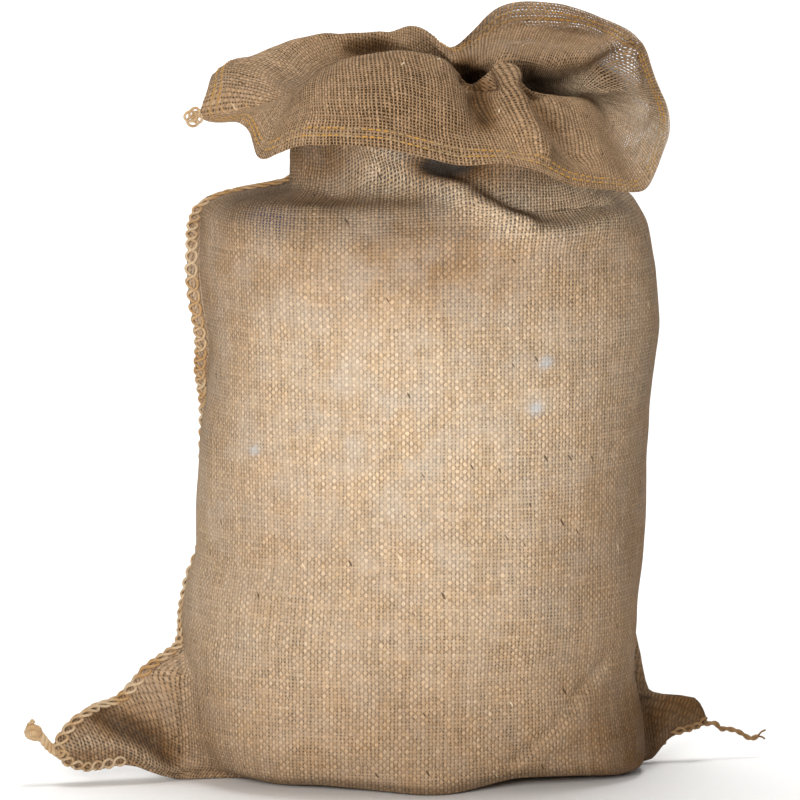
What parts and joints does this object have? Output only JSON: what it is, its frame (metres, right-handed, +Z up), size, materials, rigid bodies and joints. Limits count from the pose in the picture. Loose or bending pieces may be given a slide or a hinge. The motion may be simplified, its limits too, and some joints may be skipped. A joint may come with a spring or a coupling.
{
  "type": "sack race bag",
  "caption": "Hessian sack standing full-shaped and open inside, mouth flopped over its shoulders, with overlocked twine seams, pinched bottom corners and loose twine ends.",
  "frame": {"origin": "on the floor under the middle of the base, on the bottom seam", "axes": "+Z up, -Y the front, towards the viewer of the flopped mouth, +X to the viewer's right"},
  "size_m": [0.675, 0.4043, 0.6952],
  "materials": {
    "hessian": "matte",
    "twine": "matte",
    "marker_yarn": "matte",
    "liner": "matte"
  },
  "bodies": {
    "sack": {"sack_cloth": "hessian", "liner_bag": "liner", "side_seam_twine": "twine", "bottom_seam_twine": "twine"},
    "collar": {"collar_cloth": "hessian", "marker_yarn_outer": "marker_yarn", "marker_yarn_inner": "marker_yarn", "collar_seam_twine": "twine"},
    "mouth_loop": {"mouth_corner_loop": "twine"},
    "left_ear": {"left_ear_cloth": "hessian", "left_ear_side_twine": "twine", "left_ear_bottom_twine": "twine"},
    "left_tail": {"left_tail_knot": "twine"},
    "right_ear": {"right_ear_cloth": "hessian", "right_ear_bottom_twine": "twine"},
    "right_tail": {"right_tail_twine": "twine"}
  },
  "joints": [
    {"name": "collar_tilt", "type": "hinge", "parent": "sack", "child": "collar", "pos_m": [0.025, 0, 0.582], "axis": [-1, 0, 0], "range_deg": [-4, 14], "stiffness_Nm_per_rad": 0.6},
    {"name": "mouth_loop_swing", "type": "hinge", "parent": "collar", "child": "mouth_loop", "pos_m": [-0.1935, -0.064, 0.599], "axis": [0, 1, 0], "range_deg": [-30, 30], "stiffness_Nm_per_rad": 0.01},
    {"name": "left_ear_swing", "type": "hinge", "parent": "sack", "child": "left_ear", "pos_m": [-0.2105, -0.0497, 0], "axis": [0, 0, 1], "range_deg": [-35, 35], "stiffness_Nm_per_rad": 0.2},
    {"name": "left_tail_swing", "type": "hinge", "parent": "left_ear", "child": "left_tail", "pos_m": [-0.324, -0.078, 0.031], "axis": [0, 0, 1], "range_deg": [-30, 30], "stiffness_Nm_per_rad": 0.01},
    {"name": "right_ear_swing", "type": "hinge", "parent": "sack", "child": "right_ear", "pos_m": [0.1945, 0.0497, 0], "axis": [0, 0, 1], "range_deg": [-35, 35], "stiffness_Nm_per_rad": 0.2},
    {"name": "right_tail_swing", "type": "hinge", "parent": "right_ear", "child": "right_tail", "pos_m": [0.2634, 0.0669, 0.0355], "axis": [0, 0, 1], "range_deg": [-40, 40], "stiffness_Nm_per_rad": 0.01}
  ]
}
